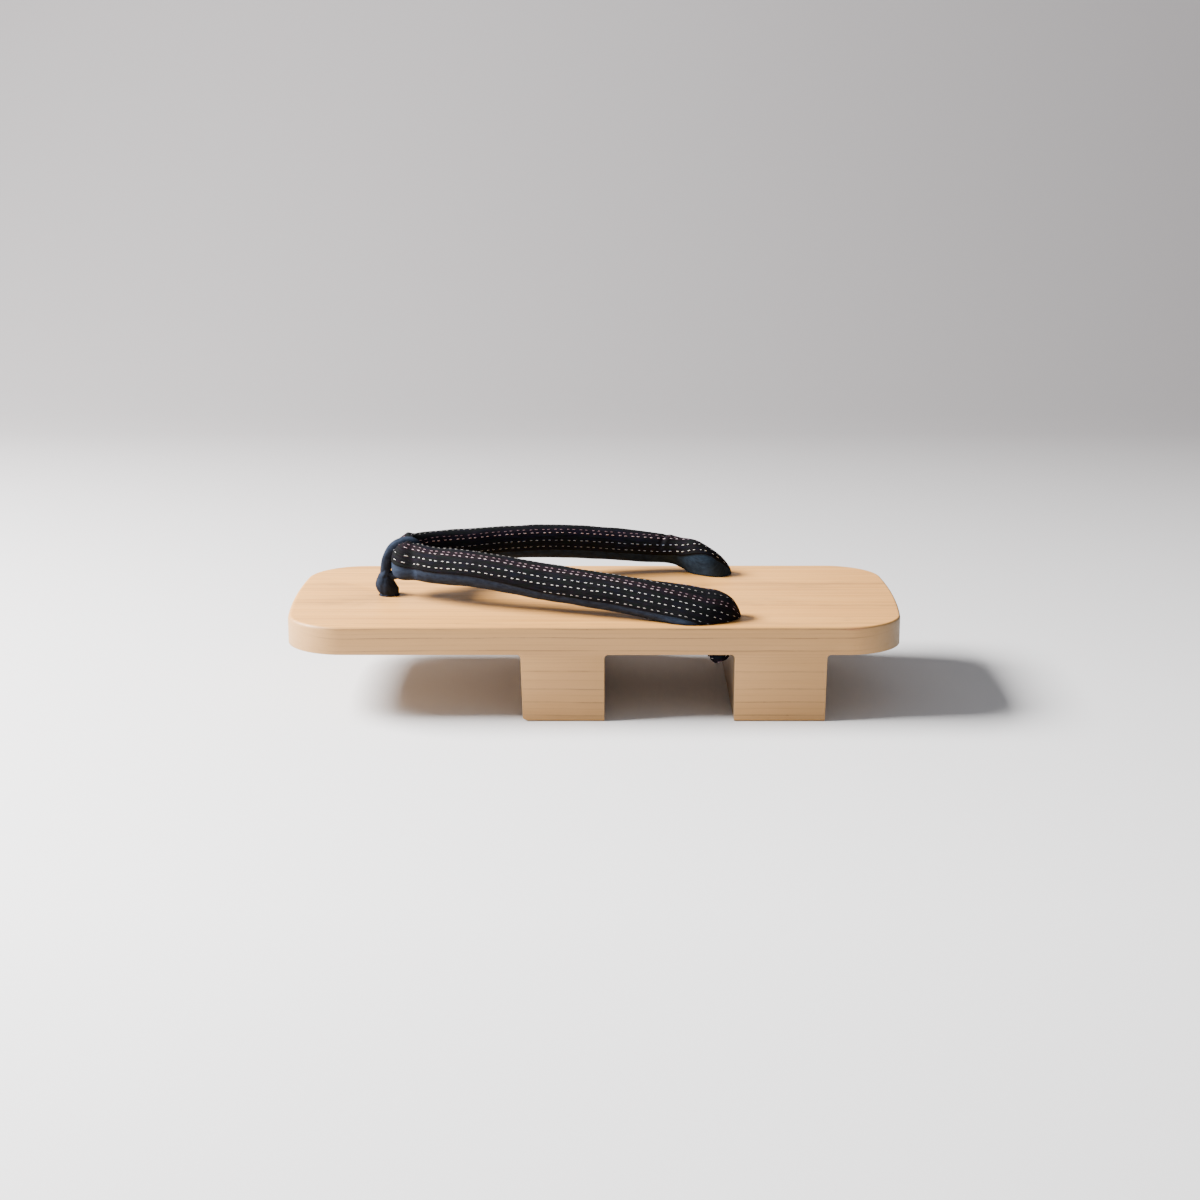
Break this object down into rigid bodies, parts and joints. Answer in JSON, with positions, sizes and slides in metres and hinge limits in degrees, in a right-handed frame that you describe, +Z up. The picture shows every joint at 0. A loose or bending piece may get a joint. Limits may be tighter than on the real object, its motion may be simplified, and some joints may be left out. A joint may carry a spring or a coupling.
{
  "type": "geta sandal",
  "caption": "Wooden sandal: a flat board on raised teeth carved from the same block, with a padded patterned V strap and a plain toe thong.",
  "frame": {"origin": "on the floor, below the middle of the bounding box", "axes": "+X from the toe to the heel, +Y to the wearer's right, +Z up"},
  "size_m": [0.25, 0.1068, 0.0636],
  "materials": {
    "pale_wood": "smooth sanded pale straight-grained wood, satin",
    "strap_fabric": "near-black woven cotton with rows of short pale dashes and a navy lining",
    "thong_fabric": "plain slate navy cotton, matt"
  },
  "bodies": {
    "root": {"dai_block": "pale_wood", "hanao_strap": "strap_fabric", "maetsubo_thong": "thong_fabric"}
  },
  "joints": []
}
